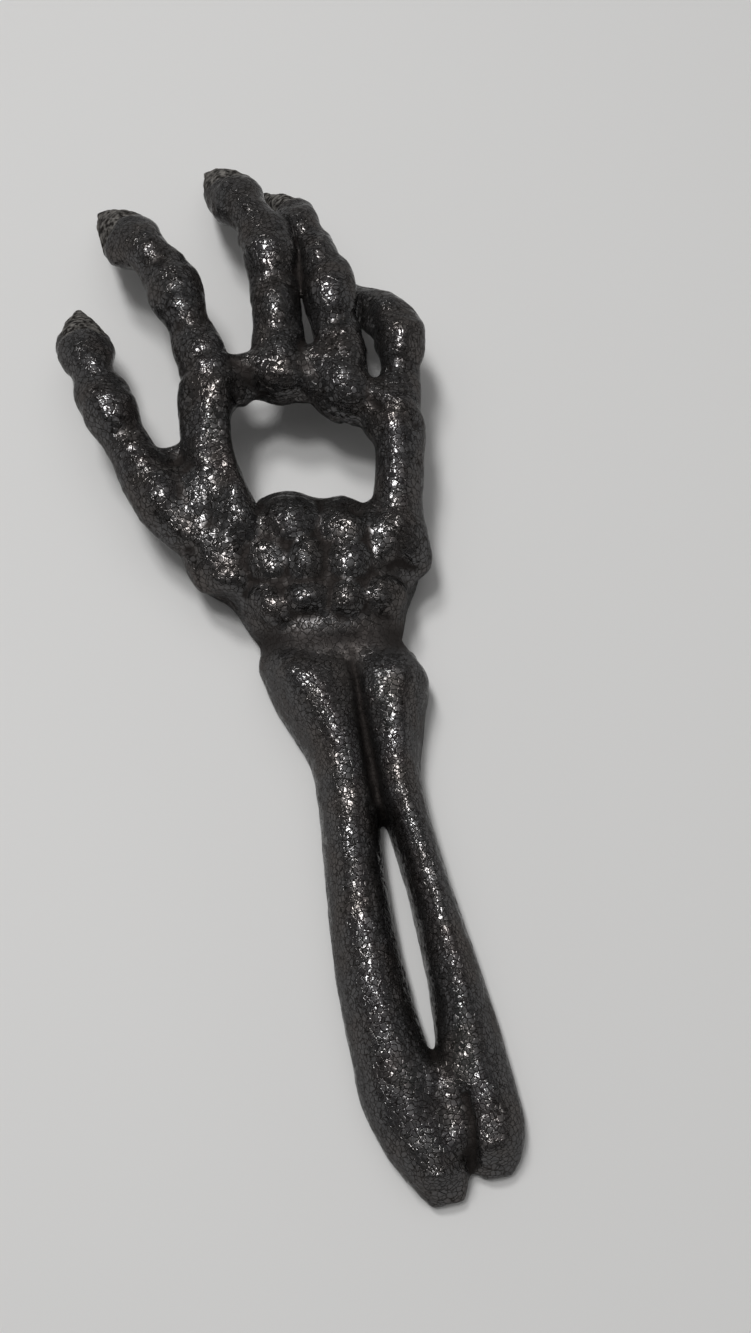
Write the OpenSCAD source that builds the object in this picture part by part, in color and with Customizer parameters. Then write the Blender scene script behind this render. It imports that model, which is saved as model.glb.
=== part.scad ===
// Cast iron bottle opener: a bony left hand, seen from its back, on two forearm bones.
// The real opener is one casting. Each bone of it is a solid of its own here,
// split at the creases of the casting, and the solids meet face to face.
// Millimetres. The origin is on the table under the middle of the cap mouth,
// +Y runs to the fingertips, +X to the thumb and +Z up to the back of the hand.

/* [Cap mouth] */
// Width of the mouth, from the ring bar to the thumb bar
mouth_w = 22.8; // [21:0.2:26]
// Length of the mouth, from the lips to the knuckle row
mouth_l = 19; // [17:0.2:22]
// Width of the bars round the mouth
bar_w = 7.8; // [7:0.1:9]
// Thickness of the bars round the mouth
bar_t = 9.4; // [8:0.1:10.5]
// Height of the middle of the knuckle row above the table
knuckle_z = 12.5; // [11:0.1:14]
// How far a knuckle swells past its bar, all round
knuckle_swell = 0.9; // [0.4:0.1:1.2]

/* [Forearm] */
// Length of the forearm, from the wrist line to the end of the ulna
forearm_l = 81; // [70:0.5:95]
// Reach of the ulna's head to the side of the seam
ulna_head = 14.8; // [13:0.1:16]
// Reach of the ulna's shaft at its narrowest
ulna_waist = 8.7; // [7.5:0.1:10]
// Reach of the ulna at the grip
ulna_grip = 11.3; // [10:0.1:13]
// Reach of the radius's head to the side of the seam
radius_head = 10.9; // [10:0.1:12]
// Reach of the radius's shaft at its narrowest
radius_waist = 6.9; // [6:0.1:8.5]
// Reach of the radius at the grip
radius_grip = 10; // [9:0.1:11.5]
// How much sooner the radius ends than the ulna
radius_short = 1.8; // [0.5:0.1:3]
// Thickness of the bones at the wrist heads
head_t = 12.2; // [11:0.1:13.5]
// Thickness of the shafts behind the heads
waist_t = 10.2; // [8.5:0.1:11.5]
// Thickness of the grip
grip_t = 9.2; // [8:0.1:11]
// Thickness of the broken ends of the bones
end_t = 2.6; // [2:0.1:4]
// Width of the hanging slot between the bones
slot_w = 3.2; // [2:0.1:3.8]
// Length of the hanging slot
slot_l = 38; // [28:0.5:42]
// Distance from the wrist line to the slot
slot_from = 26; // [22:0.5:28]

/* [Wrist bones] */
// Turn of the hand against the forearm, in degrees
wrist_turn = 11; // [8:0.5:13]
// Rise of the palm's underside from the table, in degrees
palm_rise = 8.5; // [6:0.5:10]
// Height of the valley along the wrist line
wrist_z = 9.6; // [8.5:0.1:10.5]
// Length of the rim along the wrist
rim_l = 2.6; // [2:0.1:3.5]
// Length of the near row of wrist bones
near_l = 5.8; // [5:0.1:7]
// Length of the far row of wrist bones
far_l = 5.8; // [5:0.1:7]
// Width of one wrist bone
carpal_w = 6.3; // [5.8:0.1:6.8]
// Height of the creases between the wrist bones, at the middle of the palm
crease_z = 12.4; // [11.5:0.1:13]
// Height of a wrist bone above the creases round it
carpal_dome = 2; // [1.2:0.1:2.8]
// Height of the pisiform, the outermost wrist bone, above the creases round it
outer_dome = 4.2; // [3:0.1:5]
// Fall of the palm from its middle to its outer edges
palm_fall = 4; // [2.5:0.1:5]
// Length of the lips that reach into the mouth
lip_l = 12.1; // [10.5:0.1:13]
// Thickness of the lips at the edge that lifts the cap
lip_t = 4.2; // [3.5:0.1:5.5]
// Height of the humps on the lips
lip_hump = 3.2; // [2:0.1:4]
// How far the middle of a lip bows into the mouth
lip_bow = 1.5; // [0.5:0.1:2]

/* [Fingers] */
// Lengths of the little finger's bones, knuckle to tip
little_l = [17.7, 14.4, 18.4]; // [14:0.1:24]
// Lengths of the ring finger's bones
ring_l = [22.6, 15.4, 20.4]; // [14:0.1:28]
// Lengths of the middle finger's bones
middle_l = [25.6, 17, 20.9]; // [16:0.1:30]
// Lengths of the index finger's bones
index_l = [21.2, 20.6, 18.8]; // [16:0.1:26]
// Lengths of the thumb's bones
thumb_l = [18.9, 21.4]; // [15:0.1:24]
// Widths of the little finger over its three knuckles
little_w = [9.4, 9, 9.2]; // [8:0.1:10]
// Widths of the ring finger over its three knuckles
ring_w = [9.6, 9.3, 9.8]; // [8:0.1:10.5]
// Widths of the middle finger over its three knuckles
middle_w = [10.2, 9.2, 9.6]; // [8:0.1:11]
// Widths of the index finger over its three knuckles
index_w = [9.8, 9, 7.6]; // [7:0.1:10]
// Widths of the thumb over its two knuckles
thumb_w = [8.6, 8.6]; // [7:0.1:9.5]
// Width of a finger's claw at its tip
claw_w = 2.2; // [1.5:0.1:3]
// Width of the thumb's blunt claw at its tip
thumb_claw_w = 5; // [3.5:0.1:6]
// Width of a bone at its waist, as a share of its knuckles
waist_share = 0.82; // [0.74:0.01:0.9]

/* [Hidden] */

iron = [0.10, 0.09, 0.085];
// Points round a bone, and rings along one bone of a finger
sides = 16;
bone_steps = 8;
// Steps across a wrist bone
pillow_steps = 8;

// Ease and curves
function mix(a, b, t) = a + (b - a) * t;
function clamp01(t) = min(1, max(0, t));
function ease(t) = t * t * (3 - 2 * t);
function unit(v) = v / norm(v);

// Value at t of a curve through keys [t, value], level at each key
function along(keys, t, i = 0) =
    i >= len(keys) - 2 || t <= keys[i + 1][0]
    ? mix(keys[i][1], keys[i + 1][1], ease(clamp01((t - keys[i][0]) / (keys[i + 1][0] - keys[i][0]))))
    : along(keys, t, i + 1);

// Point at s of a smooth curve through pts, with one unit of s from each point to the next
function spline(pts, s) =
    let (n = len(pts) - 1, i = min(n - 1, max(0, floor(s))), t = s - i)
    let (b = pts[i], c = pts[i + 1])
    let (a = i > 0 ? pts[i - 1] : 2 * b - c, d = i < n - 1 ? pts[i + 2] : 2 * c - b)
    b + 0.5 * t * (c - a + t * (2 * a - 5 * b + 4 * c - d + t * (3 * (b - c) + d - a)));

// Direction of that curve at s
function course(pts, s) = unit(spline(pts, s + 0.01) - spline(pts, s - 0.01));

// Oval of points round centre, square to ahead, with its own height above and below, and a web on its right
function oval(centre, ahead, half_w, above, below, web = 0) =
    let (side = unit(cross(ahead, [0, 0, 1])), up = cross(side, ahead))
    [for (k = [0 : sides - 1])
        let (c = cos(360 * k / sides), s = sin(360 * k / sides))
        centre + side * (c > 0 ? half_w + web : half_w) * c + up * (s > 0 ? above : below) * s];

// Solid skin over a row of rings
module skin(rings) {
    n = len(rings[0]);
    m = len(rings);
    polyhedron(
        points = [for (r = rings) each r],
        faces = concat(
            [[for (k = [n - 1 : -1 : 0]) k]],
            [for (j = [0 : m - 2], k = [0 : n - 1])
                [j * n + k, j * n + (k + 1) % n, (j + 1) * n + k]],
            [for (j = [0 : m - 2], k = [0 : n - 1])
                [j * n + (k + 1) % n, (j + 1) * n + (k + 1) % n, (j + 1) * n + k]],
            [[for (k = [0 : n - 1]) (m - 1) * n + k]]),
        convexity = 8);
}

// Forearm

// Lines across the hand, and the distance of the wrist line from the mouth
row_1 = rim_l;
row_2 = row_1 + near_l;
row_3 = row_2 + far_l;
row_4 = row_3 + lip_l;
wrist_y = -mouth_l / 2 - row_4 * cos(wrist_turn);
// The seam's side along the forearm, from the wrist line at 0 to the end of the ulna at 1
seam_keys = [[0, 2.4], [0.16, 0.9], [0.8, 1.1], [1, 2.4]];
// How far each bone's end draws away from the seam, and where that notch starts
ulna_notch = 1.5;
radius_notch = 2.3;
notch_from = 0.95;
// Depth of the skirt that the table cuts off, and a table larger than the opener
skirt = 1;
table = 300;
// Height of the moulded edge along a bone's foot
foot_z = 2;
// Points over the crown of a forearm bone
crown_points = 14;

slot_a = slot_from / forearm_l;
slot_b = (slot_from + slot_l) / forearm_l;
radius_last = 1 - radius_short / forearm_l;
function slot_half(t) = t <= slot_a || t >= slot_b ? 0
    : slot_w / 2 * pow(sin(180 * (t - slot_a) / (slot_b - slot_a)), 0.6);

// Narrowing of each bone at the wrist line, and its reach to the side of the seam
ulna_neck = 0.2;
radius_neck = 2;
ulna_keys = [[0, ulna_head - ulna_neck], [0.02, ulna_head], [0.22, ulna_waist], [0.64, ulna_grip],
    [1, ulna_grip]];
radius_keys = [[0, radius_head - radius_neck], [0.09, radius_head], [0.3, radius_waist], [0.85, radius_grip],
    [1, radius_grip]];
// Where each bone's end starts to round off, and how much of its width that takes
ulna_round = [0.78, 0.76];
radius_round = [0.85, 0.68];
// Rise of a bone's ridge over the wrist line, its fall along the grip,
// and the valley's depth at the heads and the ends
wrist_rise = 0.6;
grip_fall = 1.6;
head_dip = 3.4;
end_dip = 0.6;
// Height over the foot of the web between the bones, and of the slot's edge
web_rise = 3;
slot_rise = 0.4;
// Height of the ridge along a bone, and of the valley between the two bones
ridge_keys = [[0, wrist_z + wrist_rise], [0.08, head_t], [0.27, waist_t], [0.6, grip_t],
    [0.95, grip_t - grip_fall], [1, end_t]];
web_z = foot_z + web_rise;
slot_edge_z = foot_z + slot_rise;
valley_keys = [[0, wrist_z - wrist_rise], [0.08, head_t - head_dip], [slot_a, web_z],
    [slot_a + 0.05, slot_edge_z], [slot_b - 0.05, slot_edge_z], [slot_b + 0.02, web_z],
    [0.93, web_z], [1, end_t - end_dip]];

// One ring across a bone that ends at last, dir -1 for the ulna and 1 for the radius
function forearm_ring(t, dir, reach_keys, rounding, notch, last) =
    let (round_t = clamp01((t - rounding[0]) / (last - rounding[0])))
    let (reach = along(reach_keys, t) * sqrt(1 - rounding[1] * round_t * round_t))
    let (inner = slot_half(t) + notch * pow(clamp01((t - notch_from) / (last - notch_from)), 2))
    let (ridge = along(ridge_keys, t / last), valley = along(valley_keys, t / last))
    let (lean = -tan(wrist_turn) * (1 - ease(clamp01(t / 0.2))))
    let (profile = concat(
        [[inner, -skirt]],
        [for (i = [0 : crown_points])
            let (q = -cos(180 * i / crown_points), level = mix(valley, foot_z, (q + 1) / 2))
            [mix(inner, reach, (q + 1) / 2), level + (ridge - level) * pow(1 - q * q, 0.6)]],
        [[reach, -skirt]]))
    [for (p = profile)
        let (x = along(seam_keys, t) + dir * p[0])
        [x, wrist_y - t * forearm_l + lean * x, p[1]]];

// The bones share their stations, so that they meet all along the seam
function steps(a, b, n) = [for (i = [0 : n - 1]) mix(a, b, i / n)];
stations = concat(
    steps(0, slot_a, 11), steps(slot_a, slot_b, 14), steps(slot_b, radius_last, 9), [radius_last]);

module forearm_bone(dir, reach_keys, rounding, notch, last, extra = []) {
    rings = [for (t = concat(stations, extra)) forearm_ring(t, dir, reach_keys, rounding, notch, last)];
    difference() {
        skin([for (r = rings) dir > 0 ? r : [for (i = [len(r) - 1 : -1 : 0]) r[i]]]);
        translate([0, 0, -skirt])
            cube([table, table, 2 * skirt], center = true);
    }
}

module ulna() {
    color(iron) forearm_bone(-1, ulna_keys, ulna_round, ulna_notch, 1, [1]);
}

module radius() {
    color(iron) forearm_bone(1, radius_keys, radius_round, radius_notch, radius_last);
}

// Wrist bones: pillows between creases, on a plain that rises from the wrist line.
// u runs along the wrist line to the thumb, and v from the wrist line to the fingers.

function palm_point(u, v, z) = [
    u * cos(wrist_turn) + v * sin(wrist_turn),
    wrist_y - u * sin(wrist_turn) + v * cos(wrist_turn),
    z];
function under_z(v) = v * tan(palm_rise);

// Height of the creases over the whole palm, falling to its outer edges and to the edge of the lips
palm_mid = -2;
palm_flat = 6;
palm_side = 7;
lip_z = under_z(row_4) + lip_t;
crown_keys = [[0, wrist_z], [row_1, mix(wrist_z, crease_z, 0.5)], [row_2, crease_z - 0.5], [row_3, crease_z]];
function crown_z(v) = v < row_3 ? along(crown_keys, v) : mix(crease_z, lip_z, pow((v - row_3) / lip_l, 1.7));
function fall(u) = palm_fall * pow(clamp01((abs(u - palm_mid) - palm_flat) / palm_side), 1.4);
function crease(u, v) = max(under_z(v) + lip_t, crown_z(v) - fall(u));

// Roundness of the domes: lower is fuller
dome_round = 0.8;

// Solid over four corners [u, v], near left, near right, far right, far left,
// with a dome on top and its far edge bowed outwards
module pillow(corners, dome, bow = 0) {
    n = pillow_steps;
    function at(i, j) =
        let (s = i / n, t = j / n)
        let (p = mix(mix(corners[0], corners[1], s), mix(corners[3], corners[2], s), t))
        [p[0], p[1] + bow * sin(180 * s) * t * t,
            crease(p[0], p[1]) + dome * pow(sin(180 * s) * sin(180 * t), dome_round)];
    edge = concat(
        [for (i = [0 : n - 1]) [i, 0]],
        [for (j = [0 : n - 1]) [n, j]],
        [for (i = [n : -1 : 1]) [i, n]],
        [for (j = [n : -1 : 1]) [0, j]]);
    top = [for (j = [0 : n], i = [0 : n]) at(i, j)];
    rim = [for (e = edge) let (p = at(e[0], e[1])) [p[0], p[1], under_z(p[1])]];
    mid = at(n / 2, n / 2);
    m = len(edge);
    base = len(top);
    function top_i(e) = e[1] * (n + 1) + e[0];
    polyhedron(
        points = [for (p = concat(top, rim, [[mid[0], mid[1], under_z(mid[1])]]))
            palm_point(p[0], p[1], p[2])],
        faces = concat(
            [for (j = [0 : n - 1], i = [0 : n - 1])
                [j * (n + 1) + i, (j + 1) * (n + 1) + i, j * (n + 1) + i + 1]],
            [for (j = [0 : n - 1], i = [0 : n - 1])
                [j * (n + 1) + i + 1, (j + 1) * (n + 1) + i, (j + 1) * (n + 1) + i + 1]],
            [for (k = [0 : m - 1]) [top_i(edge[k]), top_i(edge[(k + 1) % m]), base + k]],
            [for (k = [0 : m - 1]) [top_i(edge[(k + 1) % m]), base + (k + 1) % m, base + k]],
            [for (k = [0 : m - 1]) [base + k, base + (k + 1) % m, base + m]]),
        convexity = 6);
}

// Creases between the columns of wrist bones, and the palm's outer edges along the rows
column_shift = 0.2;
column = [for (i = [0 : 4]) palm_mid + column_shift + (i - 2) * carpal_w];
left_edge = [-11.8, -13.2, -16.8, -22.6];
right_edge = [9, 9.6, 10.8, 13];

rim_dome = 1.2;
module wrist_rim() {
    color(iron) pillow([[left_edge[0], 0], [right_edge[0], 0], [right_edge[1], row_1], [left_edge[1], row_1]],
        rim_dome);
}

module triquetrum() {
    color(iron) pillow([[left_edge[1], row_1], [column[1], row_1], [column[1], row_2], [left_edge[2], row_2]],
        carpal_dome);
}

// One of the wrist bones between two creases, in the near or the far row
module wrist_bone(i, near, far) {
    pillow([[column[i], near], [column[i + 1], near], [column[i + 1], far], [column[i], far]], carpal_dome);
}

module lunate() {
    color(iron) wrist_bone(1, row_1, row_2);
}

module scaphoid() {
    color(iron) wrist_bone(2, row_1, row_2);
}

module wrist_boss() {
    color(iron) pillow(
        [[column[3], row_1], [right_edge[1], row_1], [right_edge[2], row_2], [column[3], row_2]],
        carpal_dome);
}

module pisiform() {
    color(iron) pillow([[left_edge[2], row_2], [column[0], row_2], [column[0], row_3], [left_edge[3], row_3]],
        outer_dome);
}

module hamate() {
    color(iron) wrist_bone(0, row_2, row_3);
}

module capitate() {
    color(iron) wrist_bone(1, row_2, row_3);
}

module trapezoid() {
    color(iron) wrist_bone(2, row_2, row_3);
}

module trapezium() {
    color(iron) pillow(
        [[column[3], row_2], [right_edge[2], row_2], [right_edge[3], row_3], [column[3], row_3]],
        carpal_dome);
}

// The lips stand on the far row and hook under the edge of a bottle cap.
// The right lip's outer corner ends sooner.
lip_split = column[2] - 1.3;
lip_edge = column[0] + 0.9;
lip_corner = 5.5;
lip_short = 2.4;

module lip_left() {
    color(iron) difference() {
        pillow([[lip_edge, row_3], [lip_split, row_3], [lip_split, row_4], [lip_edge, row_4]],
            lip_hump, lip_bow);
        ring_cutter();
    }
}

module lip_right() {
    color(iron) difference() {
        pillow(
            [[lip_split, row_3], [right_edge[3], row_3], [lip_corner, row_4 - lip_short], [lip_split, row_4]],
            lip_hump, lip_bow);
        thumb_cutter();
    }
}

// Bars round the mouth: one curve from the foot of the ring bar, over the knuckles,
// to the foot of the thumb bar

bar_x = (mouth_w + bar_w) / 2;
bar_y = (mouth_l + bar_w) / 2;
foot_bar_z = knuckle_z - 4;
// Where the bars and the outer palm stand on the far row, and which way is square to it
ring_foot = -14.6;
thumb_foot = 9.4;
little_foot = -19;
foot_ahead = [sin(wrist_turn), cos(wrist_turn), 0];
// How far the bars and the outer palm sink to the creases at their feet
ring_sink = 1.8;
thumb_sink = 0.8;
little_sink = 6;
bar_spine = [
    palm_point(ring_foot, row_3, foot_bar_z - ring_sink),
    [-bar_x + 3.2, -bar_y - 0.5, foot_bar_z + 1],
    [-bar_x + 0.9, -bar_y + 8, foot_bar_z + 1.6],
    [-bar_x + 0.4, 4, foot_bar_z + 2.6],
    [-bar_x + 3.2, bar_y + 0.2, knuckle_z],
    [-0.5, bar_y, knuckle_z],
    [bar_x - 6.2, bar_y - 5.7, knuckle_z],
    [bar_x + 1, 0.6, knuckle_z - 0.4],
    [bar_x + 0.5, -6.2, foot_bar_z + 2.2],
    [bar_x - 1.4, -bar_y, foot_bar_z + 1.2],
    palm_point(thumb_foot, row_3, foot_bar_z - thumb_sink)
];
// Knuckles and creases along that curve, counted in its points, and rings to each point
ring_at = 4;
middle_at = 5;
index_at = 6;
thumb_at = 7;
bar_last = len(bar_spine) - 1;
ring_cut = 4.5;
middle_cut = 5.5;
thumb_cut = 6.5;
bar_step = 0.25;

bar_half = bar_w / 2;
knuckle_half = bar_half + knuckle_swell;
crease_half = bar_half - 0.5;
knob_half = bar_half + 0.8;
bar_keys = [[0, bar_half - 0.8], [1.2, bar_half + 0.7], [3, bar_half], [ring_at, knuckle_half],
    [ring_cut, crease_half], [middle_at, knuckle_half], [middle_cut, crease_half], [index_at, knuckle_half],
    [thumb_cut, crease_half], [thumb_at, knuckle_half - 0.2], [8, bar_half], [9, bar_half + 0.1],
    [9.6, knob_half], [bar_last, knob_half - 0.9]];

// The rings turn square to the far row where the bars meet it
function bar_ahead(s) = unit(
    course(bar_spine, s) * min(1, s, bar_last - s)
    + foot_ahead * (clamp01(1 - s) - clamp01(1 - bar_last + s)));
function bar_ring(s) =
    let (half = along(bar_keys, s), deep = half * bar_t / bar_w)
    oval(spline(bar_spine, s), bar_ahead(s), half, deep, deep);

module bar(from, to) {
    skin([for (s = [from : bar_step : to]) bar_ring(s)]);
}

// The ring bar and the thumb bar as cutters, carried on past their feet
foot_over = 1;
function past_foot(s) = [for (p = bar_ring(s)) p - foot_over * foot_ahead];

module ring_cutter() {
    skin(concat([past_foot(0)], [for (s = [0 : bar_step : ring_cut]) bar_ring(s)]));
}

module thumb_cutter() {
    skin(concat([for (s = [thumb_cut : bar_step : bar_last]) bar_ring(s)], [past_foot(bar_last)]));
}

module ring_metacarpal() {
    color(iron) bar(0, ring_cut);
}

module middle_knuckle() {
    color(iron) bar(ring_cut, middle_cut);
}

module index_knuckle() {
    color(iron) bar(middle_cut, thumb_cut);
}

module thumb_metacarpal() {
    color(iron) bar(thumb_cut, bar_last);
}

// Fingers: chains of bones, each with a length, a turn from +Y to the thumb and a slope up.
// The last slope brings the claw down to the table.

function ahead(turn, slope) = [sin(turn) * cos(slope), cos(turn) * cos(slope), sin(slope)];
function chain(start, lengths, turns, slopes, claw, i = 0) =
    i == len(lengths) ? [start]
    : let (slope = i < len(slopes) ? slopes[i] : -asin((start[2] - claw * below_share / 2) / lengths[i]))
    concat([start], chain(start + lengths[i] * ahead(turns[i], slope), lengths, turns, slopes, claw, i + 1));

// Half widths along a finger: knuckles, waists between them, and the claw's step past the last knuckle
knuckle_off = 0.12;
crease_share = 0.92;
claw_from = 0.5;
claw_step = 0.08;
function finger_keys(w, claw) =
    let (n = len(w))
    concat(
        [[0, w[0] / 2]],
        [for (i = [1 : n - 1]) each [
            [i - 0.5, waist_share * (w[i - 1] + w[i]) / 4],
            [i - knuckle_off, w[i] / 2],
            [i, crease_share * w[i] / 2],
            [i + knuckle_off, 0.97 * w[i] / 2]]],
        [[n - 1 + claw_from, mix(claw, w[n - 1], 0.62) / 2],
            [n - 1 + claw_from + claw_step, mix(claw, w[n - 1], 0.44) / 2],
            [n, claw / 2]]);

// Height of a finger above and below its middle, as shares of its half width
above_share = 0.98;
below_share = 0.84;

function finger_ring(points, keys, s) =
    let (half = along(keys, s))
    oval(spline(points, s), course(points, s), half, half * above_share, half * below_share);

module finger_bone(points, keys, i) {
    skin([for (j = [0 : bone_steps]) finger_ring(points, keys, i + j / bone_steps)]);
}

little_knuckle = [-bar_x - 9.1, -3, knuckle_z - 2];
little_points = chain(little_knuckle, little_l, [-18.5, -10.5, -5], [5, -10], claw_w);
ring_points = chain(bar_spine[ring_at], ring_l, [-10.4, -23, -17.5], [5, -13], claw_w);
middle_points = chain(bar_spine[middle_at], middle_l, [5, -13.3, -11], [5.5, -12], claw_w);
index_points = chain(bar_spine[index_at], index_l, [3.6, -6, -13], [5.5, -13.5], claw_w);
thumb_points = chain(bar_spine[thumb_at], thumb_l, [13.5, -21], [0], thumb_claw_w);
ring_keys = finger_keys(ring_w, claw_w);
middle_keys = finger_keys(middle_w, claw_w);
index_keys = finger_keys(index_w, claw_w);
thumb_keys = finger_keys(thumb_w, thumb_claw_w);

// Outer palm: two more points before the little finger's knuckle, from its foot on the far row,
// with a web to the ring bar
palm_points = 2;
little_spine = concat(
    [palm_point(little_foot, row_3, knuckle_z - little_sink), [-bar_x - 4.1, -11.4, knuckle_z - 3.2]],
    little_points);
palm_half = [3.6, 4.8, little_w[0] / 2 + 0.4];
little_keys = concat([[0, palm_half[0]], [1, palm_half[1]], [1.75, palm_half[2]]],
    [for (k = finger_keys(little_w, claw_w)) [k[0] + palm_points, k[1]]]);
web_w = 4.2;
web_keys = [[0, 0], [1, 1], [1.7, web_w], [palm_points, web_w]];

function palm_ring(s) =
    let (half = along(little_keys, s))
    oval(spline(little_spine, s), unit(mix(foot_ahead, course(little_spine, s), min(1, s))),
        half, half * above_share, half * below_share, along(web_keys, s));

module little_bone(i) {
    finger_bone(little_spine, little_keys, palm_points + i);
}

module little_metacarpal() {
    color(iron) difference() {
        skin([for (s = [0 : 1 / bone_steps : palm_points]) palm_ring(s)]);
        ring_cutter();
    }
}

module little_proximal() {
    color(iron) little_bone(0);
}

module little_middle() {
    color(iron) little_bone(1);
}

module little_tip() {
    color(iron) little_bone(2);
}

module ring_proximal() {
    color(iron) difference() {
        finger_bone(ring_points, ring_keys, 0);
        bar(0, middle_cut);
    }
}

module ring_middle() {
    color(iron) finger_bone(ring_points, ring_keys, 1);
}

module ring_tip() {
    color(iron) finger_bone(ring_points, ring_keys, 2);
}

module middle_proximal() {
    color(iron) difference() {
        finger_bone(middle_points, middle_keys, 0);
        bar(ring_cut, thumb_cut);
    }
}

module middle_middle() {
    color(iron) finger_bone(middle_points, middle_keys, 1);
}

module middle_tip() {
    color(iron) finger_bone(middle_points, middle_keys, 2);
}

module index_proximal() {
    color(iron) difference() {
        finger_bone(index_points, index_keys, 0);
        bar(ring_cut, thumb_cut);
    }
}

module index_middle() {
    color(iron) finger_bone(index_points, index_keys, 1);
}

module index_tip() {
    color(iron) finger_bone(index_points, index_keys, 2);
}

module thumb_proximal() {
    color(iron) difference() {
        finger_bone(thumb_points, thumb_keys, 0);
        bar(middle_cut, bar_last);
    }
}

module thumb_tip() {
    color(iron) finger_bone(thumb_points, thumb_keys, 1);
}

ulna();
radius();
wrist_rim();
triquetrum();
lunate();
scaphoid();
wrist_boss();
pisiform();
hamate();
capitate();
trapezoid();
trapezium();
lip_left();
lip_right();
ring_metacarpal();
middle_knuckle();
index_knuckle();
thumb_metacarpal();
little_metacarpal();
little_proximal();
little_middle();
little_tip();
ring_proximal();
ring_middle();
ring_tip();
middle_proximal();
middle_middle();
middle_tip();
index_proximal();
index_middle();
index_tip();
thumb_proximal();
thumb_tip();
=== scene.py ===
import math
import bmesh
import bpy
import numpy as np
from mathutils import Matrix, Vector, noise


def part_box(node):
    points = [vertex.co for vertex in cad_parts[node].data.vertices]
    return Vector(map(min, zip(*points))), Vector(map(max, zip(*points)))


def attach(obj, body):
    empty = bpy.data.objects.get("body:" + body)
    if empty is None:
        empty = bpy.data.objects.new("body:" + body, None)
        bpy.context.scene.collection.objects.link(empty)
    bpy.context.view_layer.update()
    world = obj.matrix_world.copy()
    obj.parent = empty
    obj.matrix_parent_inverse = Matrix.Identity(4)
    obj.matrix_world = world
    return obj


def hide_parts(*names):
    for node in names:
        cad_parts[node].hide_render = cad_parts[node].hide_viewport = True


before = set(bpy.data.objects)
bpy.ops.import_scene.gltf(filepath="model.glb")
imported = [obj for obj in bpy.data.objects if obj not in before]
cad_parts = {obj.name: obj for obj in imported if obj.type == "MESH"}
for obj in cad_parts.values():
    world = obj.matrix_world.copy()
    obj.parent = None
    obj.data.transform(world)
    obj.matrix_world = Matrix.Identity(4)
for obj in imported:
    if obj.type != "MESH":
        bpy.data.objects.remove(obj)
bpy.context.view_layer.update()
scene = bpy.context.scene
scene.view_settings.view_transform = "Standard"
mm = 0.001
print("frame: %d nodes" % len(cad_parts))


# where the photograph was taken from, in mm, and its size in pixels
photoView = {
    "at": (-10.64, -114.01, 176.90),
    "to": (5.333, -36.886, 0),
    "lens": 32.41,
    "sensor": 36,
    "clip": (0.005, 20),   # m
    "size": (751, 1333),
}


def makeCamera(look):
    view = bpy.data.cameras.new("photoView")
    view.lens = look["lens"]
    view.sensor_width = look["sensor"]
    view.clip_start, view.clip_end = look["clip"]
    camera = bpy.data.objects.new("photoView", view)
    at = Vector(look["at"]) * mm
    to = Vector(look["to"]) * mm
    camera.location = at
    camera.rotation_mode = "QUATERNION"
    camera.rotation_quaternion = (to - at).to_track_quat("-Z", "Y")
    scene.collection.objects.link(camera)
    scene.camera = camera


def photoPixels(points, look):
    # where each point shows in the photograph
    at = np.array(look["at"])
    ahead = np.array(look["to"]) - at
    ahead /= np.linalg.norm(ahead)
    right = np.cross(ahead, (0, 0, 1))
    right /= np.linalg.norm(right)
    up = np.cross(right, ahead)
    wide, tall = look["size"]
    focal = look["lens"] / look["sensor"] * tall
    ray = points - at
    deep = ray @ ahead
    x = wide / 2 + focal * (ray @ right) / deep
    y = tall / 2 - focal * (ray @ up) / deep
    return np.stack([x, y], 1)


makeCamera(photoView)
print("camera: done")


# one poured skin over all the bones: the solids, swelled a little, with iron in the forks and creases.
# Sizes in mm
casting = {
    "weld": 0.001,
    "swell": 0.12,
    "voxel": 0.46,
    "fairing": 60,   # rounds of smoothing that keep the volume
    # bones whose creases are filled
    "filled": [
        ["triquetrum", "lunate", "scaphoid", "wrist_boss", "pisiform", "hamate", "capitate", "trapezoid",
         "trapezium", "wrist_rim", "ring_metacarpal", "little_metacarpal", "thumb_metacarpal"],
        ["hamate", "capitate", "trapezoid", "trapezium", "lip_left", "lip_right"],
    ],
    "fill": 1.7,           # half the widest crease that is filled
    "fillCoarser": 1.4,    # the filling's voxel, in voxels of the skin
    "fillFairing": 12,
    # iron between the bones: middle, half sizes, turn about Z
    "fillets": [
        ((-20.6, -0.6, 9.6), (5.2, 5.4, 3.4), -15),
        ((-16.2, -16.8, 7.8), (6.4, 5.0, 4.4), -35),
        ((-13.2, -20.4, 8.4), (4.6, 4.6, 4.2), 0),
        ((-7.4, 13.8, 12.6), (6.0, 4.2, 3.9), 0),
        ((5.2, 13.0, 13.2), (5.0, 4.4, 3.9), -25),
        ((14.2, 4.6, 12.4), (4.6, 4.2, 3.9), -45),
        ((9.2, -17.0, 8.4), (4.8, 5.4, 4.4), 20),
        ((13.6, -22.2, 7.6), (4.4, 4.4, 4.6), 0),
        ((-9.8, -15.6, 8.6), (4.0, 4.6, 4.0), 0),
        ((-4.6, -35.6, 6.0), (7.0, 2.6, 4.2), -11),
        ((5.4, -37.0, 6.0), (4.6, 2.6, 4.2), -11),
    ],
    "filletSides": (20, 12),
}
halfWay = 0.5      # smoothing takes a point half way to its neighbours
backAgain = -0.51  # and then back, to keep the volume


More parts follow.
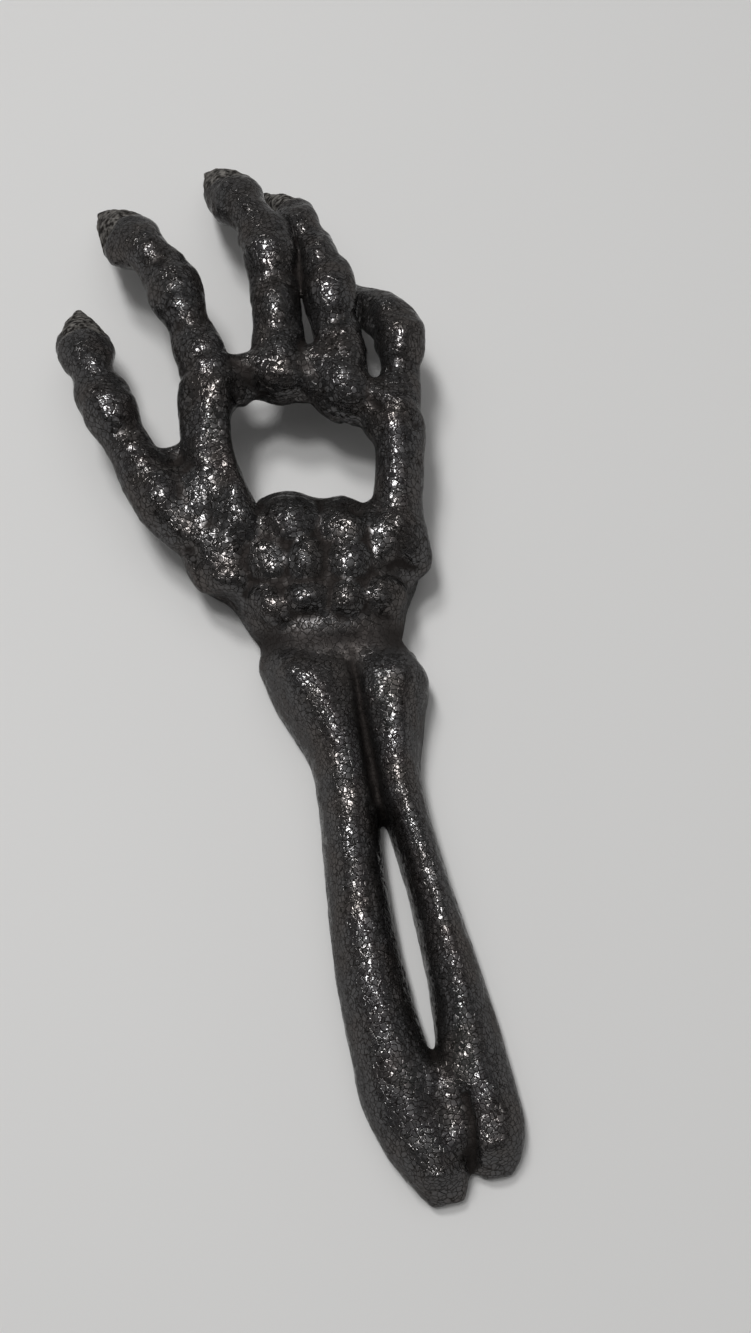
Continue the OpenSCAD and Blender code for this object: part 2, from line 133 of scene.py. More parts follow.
def swelledCopy(build, mesh, swell, weld):
    bone = bmesh.new()
    bone.from_mesh(mesh)
    bmesh.ops.remove_doubles(bone, verts=bone.verts, dist=weld * mm)
    bmesh.ops.recalc_face_normals(bone, faces=bone.faces)
    bone.normal_update()
    made = {v: build.verts.new(v.co + v.normal * swell * mm) for v in bone.verts}
    for f in bone.faces:
        build.faces.new([made[v] for v in f.verts])
    bone.free()


def addFillet(build, middle, half, turn, sides):
    place = Matrix.Translation(Vector(middle) * mm) @ Matrix.Rotation(math.radians(turn), 4, "Z")
    shape = Matrix.Diagonal(Vector((*half, 1 / mm)) * mm)
    around, upDown = sides
    bmesh.ops.create_uvsphere(build, u_segments=around, v_segments=upDown, radius=1, matrix=place @ shape)


def voxelSkin(build, voxel):
    rough = bpy.data.meshes.new("bones")
    build.to_mesh(rough)
    build.free()
    lump = bpy.data.objects.new("bones", rough)
    scene.collection.objects.link(lump)
    remesh = lump.modifiers.new("pour", "REMESH")
    remesh.mode = "VOXEL"
    remesh.voxel_size = voxel * mm
    poured = lump.evaluated_get(bpy.context.evaluated_depsgraph_get())
    solid = bpy.data.meshes.new_from_object(poured)
    bpy.data.objects.remove(lump)
    bpy.data.meshes.remove(rough)
    return solid


def readPoints(mesh):
    co = np.zeros(len(mesh.vertices) * 3, np.float32)
    mesh.vertices.foreach_get("co", co)
    return co.reshape(-1, 3).astype(float) / mm


def writePoints(mesh, points):
    mesh.vertices.foreach_set("co", (points * mm).astype(np.float32).ravel())
    mesh.update()


def readNormals(mesh):
    n = np.zeros(len(mesh.vertices) * 3, np.float32)
    mesh.vertex_normals.foreach_get("vector", n)
    return n.reshape(-1, 3).astype(float)


def readEdges(mesh):
    e = np.zeros(len(mesh.edges) * 2, np.int32)
    mesh.edges.foreach_get("vertices", e)
    return e.reshape(-1, 2)


def pullTo(values, edges, share):
    # each point's values go by share towards the mean of its neighbours
    a, b = edges[:, 0], edges[:, 1]
    n = len(values)
    count = np.maximum(1, np.bincount(a, minlength=n) + np.bincount(b, minlength=n))
    moved = np.empty_like(values)
    for k in range(values.shape[1]):
        total = np.bincount(a, values[b, k], n) + np.bincount(b, values[a, k], n)
        moved[:, k] = total / count - values[:, k]
    return values + share * moved


def relax(values, edges, rounds):
    for i in range(rounds):
        values = pullTo(values, edges, halfWay)
    return values


def fair(points, edges, rounds):
    for i in range(rounds):
        points = pullTo(points, edges, halfWay)
        points = pullTo(points, edges, backAgain)
    return points


def smoothStep(low, high, x):
    t = np.clip((x - low) / (high - low), 0, 1)
    return t * t * (3 - 2 * t)


def fillCreases(build, names, parts):
    # the bones swell until their creases close, and the skin over them shrinks back
    swelled = bmesh.new()
    for name in names:
        swelledCopy(swelled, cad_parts[name].data, parts["fill"], parts["weld"])
    closed = voxelSkin(swelled, parts["voxel"] * parts["fillCoarser"])
    writePoints(closed, fair(readPoints(closed), readEdges(closed), parts["fillFairing"]))
    swelledCopy(build, closed, parts["swell"] - parts["fill"], parts["weld"])
    bpy.data.meshes.remove(closed)


def pourSkin(parts):
    build = bmesh.new()
    for name in sorted(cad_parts):
        swelledCopy(build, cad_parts[name].data, parts["swell"], parts["weld"])
    for names in parts["filled"]:
        fillCreases(build, names, parts)
    for middle, half, turn in parts["fillets"]:
        addFillet(build, middle, half, turn, parts["filletSides"])
    skin = bpy.data.objects.new("ironHand", voxelSkin(build, parts["voxel"]))
    scene.collection.objects.link(skin)
    return skin


skin = pourSkin(casting)
edges = readEdges(skin.data)
points = fair(readPoints(skin.data), edges, casting["fairing"])
writePoints(skin.data, points)
print("skin: %d faces" % len(skin.data.polygons))


# the sculptor's marks on the back of the hand. Places, half sizes and paths are in the photograph's pixels,
# turns in degrees, and heights, depths and grain in mm
modelling = {
    # humps of the solids that are smoothed down first: place, half sizes, rounds
    "levels": [
        ((312, 588), (120, 72), 130), ((320, 522), (74, 36), 60), ((290, 376), (92, 30), 40),
        ((324, 641), (108, 31), 120), ((172, 453), (17, 14), 25), ((452, 1115), (16, 62), 40),
        ((430, 553), (15, 17), 40),
    ],
    "levelEdge": (0.7, 1.1),    # where levelling fades out, in half sizes
    "levelFrom": (4.5, 7.5),    # and the heights over the table where it sets in
    # rounded lumps: place, half sizes, turn, height
    "caps": [
        # far row of wrist bones and the outer palm
        ((268, 560), (20, 21), 20, 1.4), ((305, 559), (18, 22), 0, 1.6), ((350, 560), (21, 20), -10, 1.5),
        ((383, 549), (14, 20), 0, 1.0), ((216, 547), (25, 18), 25, 1.0), ((230, 578), (20, 16), 30, 1.1),
        # near row
        ((269, 606), (16, 25), -38, 1.4), ((307, 597), (23, 15), -8, 1.5), ((348, 598), (17, 18), 0, 1.4),
        ((387, 595), (22, 19), 10, 1.5),
        # lips
        ((289, 520), (32, 25), 0, 1.6), ((341, 527), (24, 20), 15, 1.3),
        # little finger
        ((158, 488), (19, 20), 0, 0.7), ((98, 394), (17, 13), 0, 0.6), ((113, 415), (16, 14), 0, 0.6),
        ((85, 350), (32, 21), 0, 0.5), ((141, 458), (13, 22), -25, 0.5),
        # ring finger
        ((166, 271), (18, 13), 0, 0.6), ((176, 288), (14, 14), 0, 0.5), ((133, 242), (26, 20), 0, 0.6),
        ((111, 252), (14, 14), 0, 0.5), ((189, 318), (13, 20), -25, 0.5), ((208, 354), (18, 24), -20, 0.7),
        # middle finger
        ((266, 250), (18, 26), 0, 0.5), ((291, 245), (13, 20), 0, 0.5), ((278, 303), (16, 22), 0, 0.6),
        ((283, 346), (16, 15), 0, 0.6), ((277, 380), (27, 17), 0, 1.0), ((250, 212), (18, 18), 0, 0.4),
        # index finger
        ((293, 222), (20, 17), 0, 0.6), ((314, 245), (16, 14), 0, 0.6), ((326, 284), (18, 30), 0, 0.7),
        ((346, 270), (13, 22), 0, 0.5), ((344, 382), (24, 26), 0, 0.4), ((352, 340), (18, 26), 0, 0.6),
        # thumb
        ((392, 325), (13, 11), 0, 0.6), ((412, 332), (13, 11), 0, 0.6), ((403, 347), (13, 11), 0, 0.6),
        ((393, 528), (21, 18), 0, 0.9), ((414, 543), (17, 22), 0, 0.8), ((378, 300), (18, 16), 0, 0.4),
    ],
    "soften": 6,   # rounds of smoothing over the caps
    # knuckles above 0 and waists below 0, right round a finger: place, half sizes, turn, height
    "rings": [
        # little finger
        ((85, 349), (33, 15), 0, 0.45), ((93, 374), (30, 8), -15, -0.4), ((108, 402), (31, 15), -20, 0.6),
        ((121, 432), (28, 9), -25, -0.35),
        # ring finger
        ((135, 243), (36, 13), -43, 0.7), ((153, 262), (31, 8), -43, -0.45),
        ((176, 289), (33, 16), -38, 0.75), ((189, 322), (30, 9), -20, -0.5),
        ((196, 346), (30, 11), -15, 0.35),
        # middle finger
        ((236, 200), (30, 12), -40, 0.5), ((250, 218), (28, 8), -35, -0.4), ((266, 240), (30, 14), -12, 0.6),
        ((272, 272), (27, 9), -5, -0.4), ((276, 298), (27, 11), -5, 0.4), ((279, 326), (27, 9), -5, -0.3),
        # index finger
        ((305, 211), (22, 9), -42, 0.5), ((316, 230), (24, 7), -40, -0.35),
        ((323, 244), (25, 9), -35, 0.35), ((330, 259), (25, 6), -25, -0.3), ((336, 284), (28, 18), -10, 0.6),
        ((341, 317), (27, 9), -8, -0.4), ((347, 354), (29, 15), -8, 0.55),
        # thumb
        ((382, 312), (24, 11), -60, 0.35), ((402, 334), (26, 12), -40, 0.8),
        ((400, 366), (26, 10), 0, -0.55), ((398, 398), (26, 14), 0, 0.35),
        # outer edge of the palm
        ((209, 586), (22, 18), -50, 1.3),
        # slit between two fingers, and three corners of the mouth
        ((301, 320), (9, 26), 0, 0.35), ((238, 408), (12, 9), 0, 0.7), ((366, 434), (12, 9), 0, 0.7),
        ((356, 505), (11, 10), 0, -0.9),
        # heads of the long bones, and the neck over them
        ((276, 666), (24, 18), 0, 0.8), ((262, 643), (15, 7), -35, -0.5), ((422, 676), (18, 18), 0, 0.4),
    ],
    # ridges above 0 and creases below 0: path, half width, height
    "strokes": [
        # rim of the wrist
        ([(268, 636), (300, 632), (350, 631), (398, 631)], 8, 0.2),
        # shoulders of the ring bar, with its fork at the foot
        ([(214, 388), (203, 420), (195, 455), (196, 505)], 12, 0.7),
        ([(221, 385), (227, 440), (235, 495), (254, 532)], 12, 0.7),
        ([(178, 462), (181, 495), (190, 520)], 11, -0.5),
        # ridge along the thumb's bar
        ([(393, 432), (395, 482)], 17, 0.6),
        # creases between the knuckles, and round the foot of the thumb
        ([(237, 360), (262, 394)], 11, -0.8), ([(297, 340), (306, 364), (326, 394)], 9, -0.45),
        ([(366, 390), (374, 404)], 8, -0.5), ([(376, 404), (392, 406), (406, 413), (418, 424)], 6, -0.6),
        ([(386, 562), (402, 563), (418, 569)], 7, -0.6),
        # heads of the two long bones
        ([(292, 668), (304, 690)], 20, 0.6), ([(371, 668), (376, 690)], 17, 0.5),
        # broad backs of the two long bones
        ([(290, 668), (301, 703), (324, 756), (330, 802), (338, 857), (352, 991), (382, 1111)], 12, 0.22),
        ([(318, 668), (329, 703), (352, 756), (358, 802), (366, 857), (380, 991), (412, 1111)], 12, 0.22),
        ([(371, 668), (377, 699), (381, 740), (389, 775), (401, 815), (428, 924), (448, 1024),
          (468, 1091)], 10, 0.2),
        ([(393, 668), (399, 699), (403, 740), (411, 775), (423, 815), (450, 924), (470, 1024),
          (492, 1091)], 10, 0.2),
        # furrow between the two long bones, and the web and notch at its far end
        ([(352, 664), (358, 690), (366, 740), (377, 800)], 4, -0.4),
        ([(438, 1070), (450, 1105), (458, 1140)], 9, 0.7),
        ([(465, 1096), (471, 1125), (474, 1165)], 6, -0.8),
        # edge of the cut end
        ([(412, 1182), (430, 1177), (446, 1174)], 3, 0.3),
        # line where the mould parted
        ([(186, 556), (203, 586), (236, 612), (256, 634)], 3, 0.25),
    ],
    # the ring bar leans away from the mouth: path, half width, rise
    "lifts": [
        ([(226, 385), (229, 420), (230, 440), (232, 460), (240, 487)], 12, 1.5),
        ([(190, 400), (192, 440), (190, 462)], 10, -0.7),
    ],
    "onBack": (-0.35, 0.35),    # how far a surface faces the camera where caps and strokes set in
    "rightRound": (-0.9, 0.0),  # and where the rings do
    "broad": 30,                # rounds of smoothing over the normals that all of them follow
    # nails: bone, middle and half size of the fingertip they come out of, and their point
    "nails": [
        ("little_tip", (84, 356), 26, (83, 316)), ("ring_tip", (140, 248), 34, (97, 213)),
        ("middle_tip", (236, 212), 38, (206, 178)), ("index_tip", (296, 222), 25, (270, 192)),
    ],
    "nailAhead": (0.45, 0.65),  # how nearly ahead of the fingertip a nail begins
    "nailEnd": (1.0, 1.3),      # where it ends, in half sizes from its point
    "nailRim": 1.5,
    "nailRoom": 0.6,            # how far out of its bone's box it may reach
    "nailStep": 0.35,
    # ragged edge of the mouth: path, half width
    "ragged": ([(240, 415), (262, 404), (300, 405), (330, 414), (362, 436)], 9),
    # grain: size, depth, seed
    "raggedGrain": (1.3, 0.28, (3, 5, 7)),
    "castGrain": [(5.5, 0.14, (11, 2, 4)), (2.2, 0.11, (1, 8, 3)), (1.2, 0.05, (9, 4, 6))],
    "hammered": (1.9, 0.09, (6, 6, 1)),
    "onForearm": 0.25,          # share of the hammered cells on the forearm
    "nailGrain": (0.9, 0.16, (2, 9, 5)),
    "handFrom": (-45, -32),     # where the forearm's finish turns into the hand's, along Y
    # painted shade, with matt lacquer, round the wrist and down the furrow: path, half width
    "shadeAndMattPaths": [
        ([(264, 642), (300, 640), (350, 638), (402, 637)], 15),
        ([(352, 652), (358, 690), (366, 740), (377, 800)], 8),
    ],
}


def levelDown(points, edges, pixels, share, fade, at, half, rounds):
    away = np.linalg.norm((pixels - np.array(at)) / np.array(half), axis=1)
    weight = (1 - smoothStep(*fade, away)) * share
    near = weight > 0
    kept = edges[near[edges[:, 0]] | near[edges[:, 1]]]
    for i in range(rounds):
        points = points + weight[:, None] * (pullTo(points, kept, halfWay) - points)
    return points


def markShares(pixels, at, half, turn):
    # how far each pixel lies across and along a mark, in half sizes
    c, s = math.cos(math.radians(turn)), math.sin(math.radians(turn))
    d = pixels - np.array(at)
    across = d[:, 0] * c + d[:, 1] * s
    along = d[:, 1] * c - d[:, 0] * s
    return across / half[0], along / half[1]


def capHeight(pixels, at, half, turn):
    across, along = markShares(pixels, at, half, turn)
    return np.sqrt(np.clip(1 - across ** 2 - along ** 2, 0, 1))


def ringHeight(pixels, at, half, turn):
    across, along = markShares(pixels, at, half, turn)
    return np.exp(-across ** 4 - along ** 2)


def strokeHeight(pixels, path, half):
    nearest = np.full(len(pixels), np.inf)
    for a, b in zip(path, path[1:]):
        a, b = np.array(a, float), np.array(b, float)
        t = np.clip((pixels - a) @ (b - a) / ((b - a) @ (b - a)), 0, 1)
        nearest = np.minimum(nearest, np.linalg.norm(pixels - a - t[:, None] * (b - a), axis=1))
    return np.exp(-(nearest / half) ** 2)


def facingCamera(points, normals, look, low, high):
    ray = np.array(look["at"]) - points
    ray /= np.linalg.norm(ray, axis=1)[:, None]
    return smoothStep(low, high, np.sum(ray * normals, axis=1))


def broadNormals(normals, edges, rounds):
    normals = relax(normals, edges, rounds)
    return normals / np.linalg.norm(normals, axis=1)[:, None]


def model(skin, points, edges, pixels, marks, look):
    upper = smoothStep(*marks["levelFrom"], points[:, 2])
    for at, half, rounds in marks["levels"]:
        points = levelDown(points, edges, pixels, upper, marks["levelEdge"], at, half, rounds)
    writePoints(skin.data, points)
    normals = readNormals(skin.data)
    onBack = facingCamera(points, normals, look, *marks["onBack"])
    rightRound = facingCamera(points, normals, look, *marks["rightRound"])
    swollen = np.zeros(len(points))
    for at, half, turn, tall in marks["rings"]:
        swollen += tall * ringHeight(pixels, at, half, turn)
    height = np.zeros(len(points))
    for at, half, turn, tall in marks["caps"]:
        height = np.maximum(height, tall * capHeight(pixels, at, half, turn))
    height = relax(height[:, None], edges, marks["soften"])[:, 0]
    for path, half, tall in marks["strokes"]:
        height += tall * strokeHeight(pixels, path, half)
    height = height * onBack + swollen * rightRound
    points = points + broadNormals(normals, edges, marks["broad"]) * height[:, None]
    for path, half, rise in marks["lifts"]:
        points[:, 2] += rise * strokeHeight(pixels, path, half) * onBack
    return points


def insideBox(points, bone, room):
    low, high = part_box(bone)
    return np.all((points > np.array(low) / mm - room) & (points < np.array(high) / mm + room), axis=1)


def nailWeight(pixels, middle, half, point, marks):
    middle, point = np.array(middle, float), np.array(point, float)
    out = point - middle
    out /= np.linalg.norm(out)
    d = pixels - middle
    far = np.linalg.norm(d, axis=1)
    ahead = smoothStep(*marks["nailAhead"], d @ out / np.maximum(far, 1))
    near = 1 - smoothStep(*marks["nailEnd"], np.linalg.norm(pixels - point, axis=1) / half)
    return smoothStep(half - marks["nailRim"], half + marks["nailRim"], far) * ahead * near


def nailShare(points, pixels, marks):
    share = np.zeros(len(points))
    for bone, middle, half, point in marks["nails"]:
        weight = nailWeight(pixels, middle, half, point, marks)
        share = np.maximum(share, weight * insideBox(points, bone, marks["nailRoom"]))
    return share


def grain(points, size, depth, seed):
    shift = Vector(seed)
    return np.array([noise.noise(Vector(p) / size + shift) for p in points]) * depth


def hammeredCells(points, size, depth, seed):
    shift = Vector(seed)
    return np.array([noise.voronoi(Vector(p) / size + shift)[0][0] for p in points]) * -depth


def roughen(skin, points, pixels, nail, hand, marks):
    writePoints(skin.data, points)
    normals = readNormals(skin.data)
    rough = strokeHeight(pixels, *marks["ragged"]) * grain(points, *marks["raggedGrain"])
    for values in marks["castGrain"]:
        rough += grain(points, *values)
    cells = marks["onForearm"] + (1 - marks["onForearm"]) * hand
    rough += hammeredCells(points, *marks["hammered"]) * cells
    rough += grain(points, *marks["nailGrain"]) * nail
    return points + normals * (rough - nail * marks["nailStep"])[:, None]


pixels = photoPixels(points, photoView)
points = model(skin, points, edges, pixels, modelling, photoView)
nail = nailShare(points, pixels, modelling)
hand = smoothStep(*modelling["handFrom"], points[:, 1])
points = roughen(skin, points, pixels, nail, hand, modelling)
points[:, 2] = np.maximum(points[:, 2], 0)   # the hand lies flat on the table
writePoints(skin.data, points)
print("modelling: %d caps, %d strokes" % (len(modelling["caps"]), len(modelling["strokes"])))


# finish of the lacquer: sizes in mm, colours linear
lacquer = {
    "dark": (0.108, 0.106, 0.107, 1),
    "brown": (0.108, 0.098, 0.093, 1),
    "mottle": (160, 5),           # patches of brown: scale per metre, detail
    "brownFrom": (0.42, 0.66),
    "fine": 0.74,                 # plates of the crackled lacquer on the forearm
    "coarse": 0.92,               # and on the hand
    "warp": (900, 2),             # how their edges wander: scale per metre, detail
    "wander": 0.9,
    "tilt": 0.29,                 # how far the plates lie askew
    "grit": 0.07,
    "gritDetail": 2,
    "groove": 0.032,              # depth of the cracks
    "crackWidth": 0.11,           # in plates
    "crack": (0.024, 0.021, 0.019, 1),
    # painted shade: a darker colour where shade falls in the creases, round the wrist and down the furrow
    "paintedShadeColour": (0.036, 0.031, 0.029, 1),
    "creaseRounds": 14,           # rounds of smoothing that creases are told by
    "creaseDepth": 0.17,          # depth at which a crease gets the full painted shade
    # how much painted shade and matt lacquer the wrist and furrow strokes get
    "shadeAndMattShare": 0.85,
    "nail": (0.27, 0.257, 0.240, 1),
    "nailPit": (0.030, 0.027, 0.025, 1),
    "pit": (0.95, 3),             # pits in the nails: size, detail
    "pitFrom": (0.42, 0.62),
    "glossFrom": (0.35, 0.65),
    "gloss": (0.08, 0.17),        # roughness of clear lacquer
    "creaseMatt": 0.7,            # of the creases
    "nailMatt": 0.75,             # and of the nails
    "metal": 0.8,
    "shine": (0.35, 0.35, 0.35, 1),
}


def ridgeShare(points, edges, normals, rounds):
    # above 0 on ridges, below 0 in creases, in mm over the ground about them
    return np.sum((points - relax(points, edges, rounds)) * normals, axis=1)


def keepShare(mesh, name, values):
    share = mesh.attributes.new(name, "FLOAT", "POINT")
    share.data.foreach_set("value", values.astype(np.float32))


def addNode(tree, kind, x, y, **values):
    node = tree.nodes.new(kind)
    node.location = (x, y)
    for name, value in values.items():
        if name in node.inputs:
            node.inputs[name].default_value = value
        else:
            setattr(node, name, value)
    return node


def newMaterial(name):
    made = bpy.data.materials.new(name)
    made.use_nodes = True
    return made, made.node_tree, made.node_tree.nodes["Principled BSDF"]


def setRange(node, fromMin, fromMax, toMin, toMax):
    for name, value in zip(("From Min", "From Max", "To Min", "To Max"), (fromMin, fromMax, toMin, toMax)):
        node.inputs[name].default_value = value


def addPlates(tree, place, hand, look):
    # crackled plates, each lying a little askew: fine on the forearm, coarse on the hand
    link = tree.links.new
    scale, detail = look["warp"]
    warp = addNode(tree, "ShaderNodeTexNoise", -1900, -300, Scale=scale, Detail=detail)
    shift = addNode(tree, "ShaderNodeVectorMath", -1750, -150, operation="MULTIPLY_ADD")
    shift.inputs[1].default_value = (look["wander"] * mm,) * 3
    link(place.outputs["Object"], warp.inputs["Vector"])
    link(warp.outputs["Color"], shift.inputs[0])
    link(place.outputs["Object"], shift.inputs[2])
    plates = addNode(tree, "ShaderNodeMix", -900, -200)
    cracks = addNode(tree, "ShaderNodeMix", -900, 100)
    grit = addNode(tree, "ShaderNodeMix", -900, -500)
    for mix in (plates, cracks, grit):
        link(hand, mix.inputs["Factor"])
    for size, y, side in ((look["fine"], 0, "A"), (look["coarse"], -400, "B")):
        scale = 1 / (size * mm)
        plate = addNode(tree, "ShaderNodeTexVoronoi", -1550, y, feature="F1", Scale=scale)
        edge = addNode(tree, "ShaderNodeTexVoronoi", -1550, y - 200, feature="DISTANCE_TO_EDGE", Scale=scale)
        speck = addNode(tree, "ShaderNodeTexNoise", -1550, y - 300, Scale=scale, Detail=look["gritDetail"])
        askew = addNode(tree, "ShaderNodeVectorMath", -1350, y, operation="SUBTRACT")
        askew.inputs[1].default_value = (0.5, 0.5, 0.5)
        reach = addNode(tree, "ShaderNodeVectorMath", -1350, y - 100, operation="SUBTRACT")
        rise = addNode(tree, "ShaderNodeVectorMath", -1150, y, operation="DOT_PRODUCT")
        link(shift.outputs[0], plate.inputs["Vector"])
        link(shift.outputs[0], edge.inputs["Vector"])
        link(place.outputs["Object"], speck.inputs["Vector"])
        link(speck.outputs["Fac"], grit.inputs[side])
        link(plate.outputs["Color"], askew.inputs[0])
        link(shift.outputs[0], reach.inputs[0])
        link(plate.outputs["Position"], reach.inputs[1])
        link(askew.outputs[0], rise.inputs[0])
        link(reach.outputs[0], rise.inputs[1])
        link(rise.outputs["Value"], plates.inputs[side])
        link(edge.outputs["Distance"], cracks.inputs[side])
    return plates, cracks, grit


def addRelief(tree, plates, grit, groove, look):
    link = tree.links.new
    height = addNode(tree, "ShaderNodeMath", -700, -200, operation="MULTIPLY")
    height.inputs[1].default_value = look["tilt"] / mm
    gritty = addNode(tree, "ShaderNodeMath", -500, -300, operation="MULTIPLY_ADD")
    gritty.inputs[1].default_value = look["grit"]
    cut = addNode(tree, "ShaderNodeMath", -350, -200, operation="MULTIPLY_ADD")
    cut.inputs[1].default_value = -look["groove"]
    bump = addNode(tree, "ShaderNodeBump", -200, -250, Strength=1, Distance=mm)
    link(plates.outputs["Result"], height.inputs[0])
    link(grit.outputs["Result"], gritty.inputs[0])
    link(height.outputs[0], gritty.inputs[2])
    link(groove.outputs["Result"], cut.inputs[0])
    link(gritty.outputs[0], cut.inputs[2])
    link(cut.outputs[0], bump.inputs["Height"])
    return bump


def addMix(tree, x, y, factor, a, b, kind):
    # a and b are outputs or fixed values
    mix = addNode(tree, "ShaderNodeMix", x, y, data_type=kind)
    tree.links.new(factor, mix.inputs["Factor"])
    for name, value in (("A", a), ("B", b)):
        if isinstance(value, bpy.types.NodeSocket):
            tree.links.new(value, mix.inputs[name])
        else:
            mix.inputs[name].default_value = value
    return mix.outputs["Result"]


def makeLacquer(look):
    made, tree, shader = newMaterial("lacqueredIron")
    link = tree.links.new
    place = addNode(tree, "ShaderNodeTexCoord", -2100, 0)
    hand = addNode(tree, "ShaderNodeAttribute", -1300, -800, attribute_name="hand").outputs["Fac"]
    nail = addNode(tree, "ShaderNodeAttribute", -700, 700, attribute_name="nail").outputs["Fac"]
    crease = addNode(tree, "ShaderNodeAttribute", -700, 900, attribute_name="crease").outputs["Fac"]
    plates, cracks, grit = addPlates(tree, place, hand, look)
    groove = addNode(tree, "ShaderNodeMapRange", -700, 100)
    setRange(groove, 0.0, look["crackWidth"], 1, 0)
    link(cracks.outputs["Result"], groove.inputs["Value"])
    bump = addRelief(tree, plates, grit, groove, look)
    link(bump.outputs["Normal"], shader.inputs["Normal"])
    # black and brown lacquer, darker in the cracks, with painted shade in the creases, round the wrist and
    # down the furrow, and pitted grey nails
    scale, detail = look["mottle"]
    mottle = addNode(tree, "ShaderNodeTexNoise", -1500, 600, Scale=scale, Detail=detail)
    brown = addNode(tree, "ShaderNodeMapRange", -1300, 600)
    setRange(brown, *look["brownFrom"], 0, 1)
    size, detail = look["pit"]
    pits = addNode(tree, "ShaderNodeTexNoise", -900, 1100, Scale=1 / (size * mm), Detail=detail)
    pitted = addNode(tree, "ShaderNodeMapRange", -700, 1100)
    setRange(pitted, *look["pitFrom"], 0, 1)
    link(place.outputs["Object"], mottle.inputs["Vector"])
    link(mottle.outputs["Fac"], brown.inputs["Value"])
    link(place.outputs["Object"], pits.inputs["Vector"])
    link(pits.outputs["Fac"], pitted.inputs["Value"])
    tint = addMix(tree, -1100, 600, brown.outputs["Result"], look["dark"], look["brown"], "RGBA")
    coat = addMix(tree, -500, 400, groove.outputs["Result"], tint, look["crack"], "RGBA")
    # painted shade in the creases, round the wrist and down the furrow
    shadedCoat = addMix(tree, -380, 550, crease, coat, look["paintedShadeColour"], "RGBA")
    claw = addMix(tree, -500, 1000, pitted.outputs["Result"], look["nailPit"], look["nail"], "RGBA")
    link(addMix(tree, -250, 450, nail, shadedCoat, claw, "RGBA"), shader.inputs["Base Color"])
    # glossy lacquer, matt in the creases and on the nails
    gloss = addNode(tree, "ShaderNodeMapRange", -500, 150)
    setRange(gloss, *look["glossFrom"], *look["gloss"])
    link(mottle.outputs["Fac"], gloss.inputs["Value"])
    worn = addMix(tree, -380, 150, crease, gloss.outputs["Result"], look["creaseMatt"], "FLOAT")
    link(addMix(tree, -250, 150, nail, worn, look["nailMatt"], "FLOAT"), shader.inputs["Roughness"])
    shader.inputs["Metallic"].default_value = look["metal"]
    shader.inputs["Specular Tint"].default_value = look["shine"]
    return made


# painted shade with matt lacquer along the wrist and furrow strokes
shadeAndMattPaths = np.max([strokeHeight(pixels, path, half) for path, half in modelling["shadeAndMattPaths"]], axis=0)
ridge = ridgeShare(points, edges, readNormals(skin.data), lacquer["creaseRounds"])
# painted shade: the deeper a crease, the darker its colour, and the more matt its lacquer
crease = smoothStep(0.0, lacquer["creaseDepth"], -ridge)
keepShare(skin.data, "nail", nail)
keepShare(skin.data, "hand", hand)
keepShare(skin.data, "crease", np.maximum(crease, lacquer["shadeAndMattShare"] * shadeAndMattPaths))
skin.data.materials.clear()
skin.data.materials.append(makeLacquer(lacquer))
skin.data.polygons.foreach_set("use_smooth", np.ones(len(skin.data.polygons), bool))
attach(skin, "root")
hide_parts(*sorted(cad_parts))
print("lacquer: done")


# table and light, in metres
studio = {
    "tableColour": (0.80, 0.795, 0.785, 1),
    "tableRough": 0.6,
    "tableHalf": 1.5,
    # how bright the room is from the table's height, at 0, to overhead, at 1:
    # a pale wall, and the ceiling over it
    "room": [(0, 0.38), (0.34, 0.38), (0.42, 0.04), (0.66, 0.09), (0.88, 0.62), (1, 0.90)],
    "wallTop": (0.34, 0.42),
    "nearSide": 0.35,           # share of the light over the wall on the photographer's side
    "nearFrom": (-0.5, 0.2),    # where that side begins, along Y
    # lamps: name, direction, distance, width, power
    "lamps": [
        ("softBox", (-0.19, 0.10, 0.98), 0.9, 0.18, 1.75),
        ("window", (-0.17, 0.40, 0.90), 1.0, 0.22, 2.55),
    ],
    "lampsAim": (0, -0.03, 0),
}


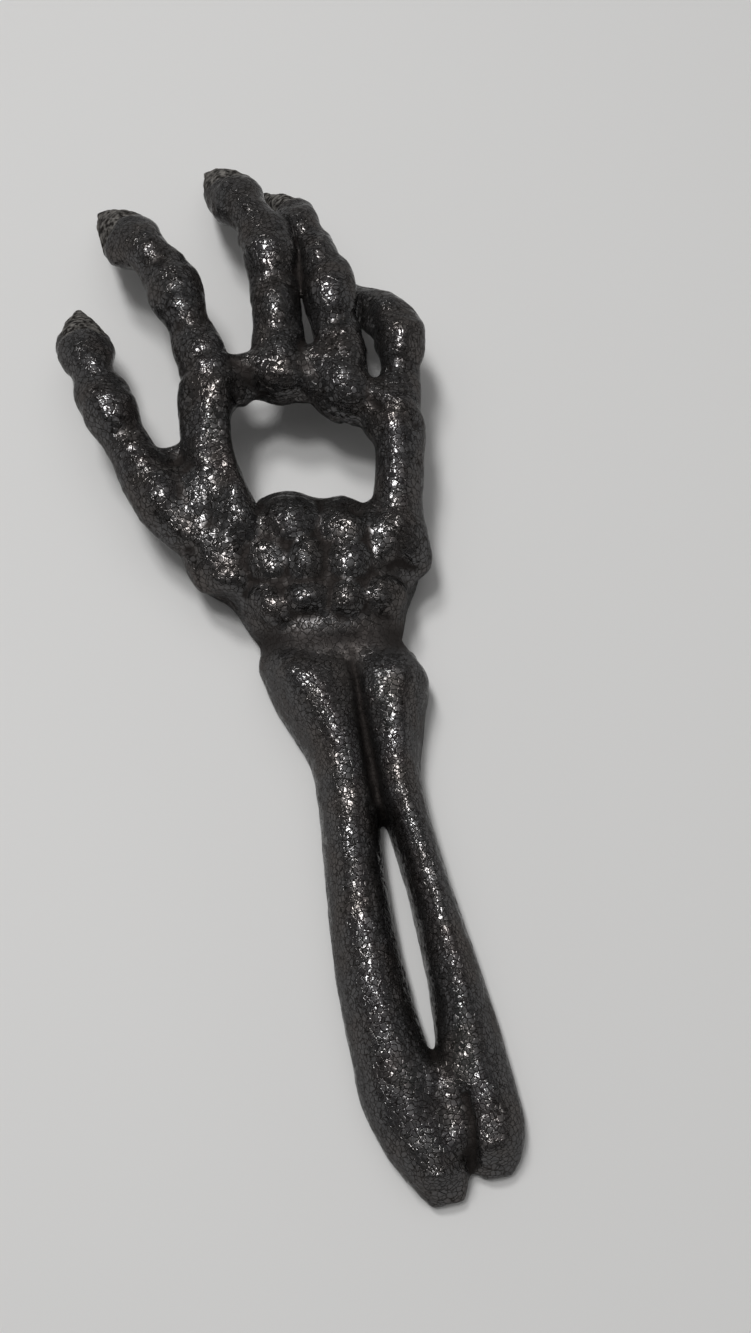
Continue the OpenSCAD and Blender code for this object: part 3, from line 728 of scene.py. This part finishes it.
def makeTable(look):
    mesh = bpy.data.meshes.new("table")
    half = look["tableHalf"]
    corners = [(-half, -half, 0), (half, -half, 0), (half, half, 0), (-half, half, 0)]
    mesh.from_pydata(corners, [], [(0, 1, 2, 3)])
    table = bpy.data.objects.new("table", mesh)
    scene.collection.objects.link(table)
    made, tree, shader = newMaterial("paleTable")
    shader.inputs["Base Color"].default_value = look["tableColour"]
    shader.inputs["Roughness"].default_value = look["tableRough"]
    mesh.materials.append(made)


def makeLamps(look):
    for name, way, far, width, power in look["lamps"]:
        light = bpy.data.lights.new(name, "AREA")
        light.shape = "DISK"
        light.size = width
        light.energy = power
        lamp = bpy.data.objects.new(name, light)
        away = Vector(way).normalized()
        lamp.location = away * far + Vector(look["lampsAim"])
        lamp.rotation_mode = "QUATERNION"
        lamp.rotation_quaternion = away.to_track_quat("Z", "Y")
        scene.collection.objects.link(lamp)


def makeRoom(look):
    world = bpy.data.worlds.new("room")
    scene.world = world
    world.use_nodes = True
    tree = world.node_tree
    link = tree.links.new
    background = tree.nodes["Background"]
    place = addNode(tree, "ShaderNodeTexCoord", -900, 0)
    split = addNode(tree, "ShaderNodeSeparateXYZ", -700, 0)
    level = addNode(tree, "ShaderNodeValToRGB", -500, 0)
    stops = level.color_ramp.elements
    while len(stops) < len(look["room"]):
        stops.new(1)
    for stop, (height, bright) in zip(stops, look["room"]):
        stop.position = height
        stop.color = (bright, bright, bright, 1)
    near = addNode(tree, "ShaderNodeMapRange", -500, -300, interpolation_type="SMOOTHSTEP")
    setRange(near, *look["nearFrom"], look["nearSide"], 1)
    upper = addNode(tree, "ShaderNodeMapRange", -500, -600)
    setRange(upper, *look["wallTop"], 0, 1)
    link(place.outputs["Generated"], split.inputs[0])
    link(split.outputs["Z"], level.inputs["Fac"])
    link(split.outputs["Y"], near.inputs["Value"])
    link(split.outputs["Z"], upper.inputs["Value"])
    shade = addMix(tree, -250, -300, upper.outputs["Result"], 1, near.outputs["Result"], "FLOAT")
    link(level.outputs["Color"], background.inputs["Color"])
    link(shade, background.inputs["Strength"])


makeTable(studio)
makeLamps(studio)
makeRoom(studio)
print("studio: done")
